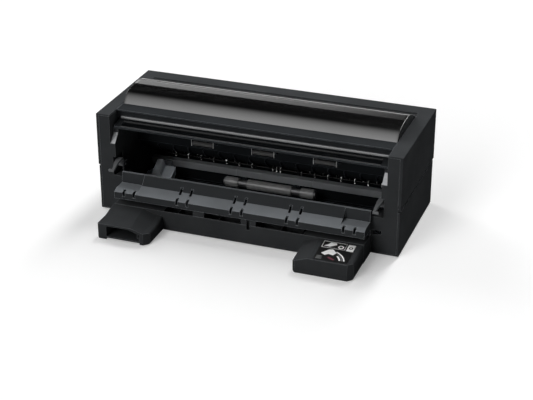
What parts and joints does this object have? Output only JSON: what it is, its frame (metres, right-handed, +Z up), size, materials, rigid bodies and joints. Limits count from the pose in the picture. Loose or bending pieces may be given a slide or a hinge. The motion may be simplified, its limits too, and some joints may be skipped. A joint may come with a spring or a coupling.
{
  "type": "roll paper feeder",
  "caption": "Wide box-shaped roll feeder for a desktop photo printer, with a bowed lift-up cover, open front mouth, feed rollers, docking hooks and two forward feet.",
  "frame": {"origin": "centre of the whole footprint, on the surface that the feeder stands on", "axes": "+X along the width, to the right as the printer side is faced; -Y towards the printer side, where the feet reach out; +Z up"},
  "size_m": [0.615, 0.366, 0.2281],
  "materials": {
    "case_plastic": "fine grained dark grey",
    "inner_plastic": "satin near-black",
    "rail_plastic": "satin mid grey",
    "guide_plastic": "satin grey",
    "hook_plastic": "satin light grey",
    "gloss_black": "polished black",
    "silver_trim": "polished light grey",
    "roller_rubber": "fine matte",
    "pad_rubber": "matte",
    "steel": "ground",
    "chrome": "bright plated",
    "brass": "machined",
    "gear_plastic": "natural off-white",
    "label_film": "printed film",
    "board_green": "coated board"
  },
  "bodies": {
    "case": {"upper_case": "case_plastic", "lower_case": "case_plastic", "left_side_frame": "case_plastic", "right_side_frame": "case_plastic", "front_fascia": "case_plastic", "front_trim_bar": "silver_trim", "front_ledge": "case_plastic", "ledge_panel": "gloss_black", "cover_hinge_pins": "steel", "chamber_front_panel": "inner_plastic", "window_roller_pins": "steel", "roll_trough": "inner_plastic", "shaft_bushes": "gear_plastic", "idler_stud": "steel", "motor_body": "steel", "motor_bracket": "steel", "star_wheel_carrier": "inner_plastic", "rail_left": "rail_plastic", "rail_centre": "rail_plastic", "rail_right": "rail_plastic", "cavity_wall": "inner_plastic", "rear_paper_guide": "inner_plastic", "idle_roller_brackets": "inner_plastic", "front_guide": "guide_plastic", "front_base": "case_plastic", "left_foot": "case_plastic", "right_foot": "case_plastic", "foot_label": "label_film", "rubber_pads": "pad_rubber", "hook_pins": "steel", "hook_springs": "steel", "control_board": "board_green", "dock_connector": "inner_plastic"},
    "cover": {"roll_cover": "gloss_black"},
    "window_roller_a": {"window_roller_left": "roller_rubber"},
    "window_roller_b": {"window_roller_centre": "roller_rubber"},
    "window_roller_c": {"window_roller_right": "roller_rubber"},
    "drive_roller": {"drive_shaft": "steel", "drive_sleeves": "roller_rubber", "drive_gear": "gear_plastic"},
    "idler": {"idler_gear": "gear_plastic"},
    "pinion": {"motor_pinion": "brass"},
    "front_stars": {"star_wheels_front": "steel"},
    "rear_stars": {"star_wheels_rear": "steel"},
    "idle_roller": {"idle_roller_tube": "chrome", "idle_roller_sleeves": "roller_rubber"},
    "sliding_guide": {"edge_guide": "guide_plastic"},
    "latch_left": {"left_hook": "hook_plastic"},
    "latch_right": {"right_hook": "hook_plastic"}
  },
  "joints": [
    {"name": "cover_hinge", "type": "hinge", "parent": "case", "child": "cover", "pos_m": [0, 0.1398, 0.198], "axis": [-1, 0, 0], "range_deg": [0, 95]},
    {"name": "window_roller_left_spin", "type": "hinge", "parent": "case", "child": "window_roller_a", "pos_m": [-0.1275, 0.04061, 0.1225], "axis": [1, 0, 0], "continuous": true},
    {"name": "window_roller_centre_spin", "type": "hinge", "parent": "case", "child": "window_roller_b", "pos_m": [0, 0.04061, 0.1225], "axis": [1, 0, 0], "continuous": true},
    {"name": "window_roller_right_spin", "type": "hinge", "parent": "case", "child": "window_roller_c", "pos_m": [0.1275, 0.04061, 0.1225], "axis": [1, 0, 0], "continuous": true},
    {"name": "drive_roller_spin", "type": "hinge", "parent": "case", "child": "drive_roller", "pos_m": [0, 0.13153, 0.07882], "axis": [1, 0, 0], "continuous": true},
    {"name": "idler_spin", "type": "hinge", "parent": "case", "child": "idler", "pos_m": [0, 0.11341, 0.06614], "axis": [1, 0, 0], "continuous": true},
    {"name": "motor_pinion_spin", "type": "hinge", "parent": "case", "child": "pinion", "pos_m": [0, 0.08965, 0.06195], "axis": [1, 0, 0], "continuous": true},
    {"name": "front_star_spin", "type": "hinge", "parent": "case", "child": "front_stars", "pos_m": [0, 0.12, 0.0535], "axis": [1, 0, 0], "continuous": true},
    {"name": "rear_star_spin", "type": "hinge", "parent": "case", "child": "rear_stars", "pos_m": [0, 0.133, 0.0535], "axis": [1, 0, 0], "continuous": true},
    {"name": "idle_roller_spin", "type": "hinge", "parent": "case", "child": "idle_roller", "pos_m": [0, 0.0776, 0.031], "axis": [1, 0, 0], "continuous": true},
    {"name": "edge_guide_slide", "type": "slide", "parent": "case", "child": "sliding_guide", "axis": [1, 0, 0], "range_m": [0, 0.1016]},
    {"name": "left_hook_swing", "type": "hinge", "parent": "case", "child": "latch_left", "pos_m": [-0.2665, -0.047, 0.098], "axis": [-1, 0, 0], "range_deg": [0, 12], "stiffness_Nm_per_rad": 0.04, "springref_deg": -8.59},
    {"name": "right_hook_swing", "type": "hinge", "parent": "case", "child": "latch_right", "pos_m": [0.2665, -0.047, 0.098], "axis": [-1, 0, 0], "range_deg": [0, 12], "stiffness_Nm_per_rad": 0.04, "springref_deg": -8.59}
  ],
  "couplings": [
    {"joint": "idler_spin", "follows": "drive_roller_spin", "ratio": -2.1429},
    {"joint": "motor_pinion_spin", "follows": "drive_roller_spin", "ratio": 6.4286}
  ]
}
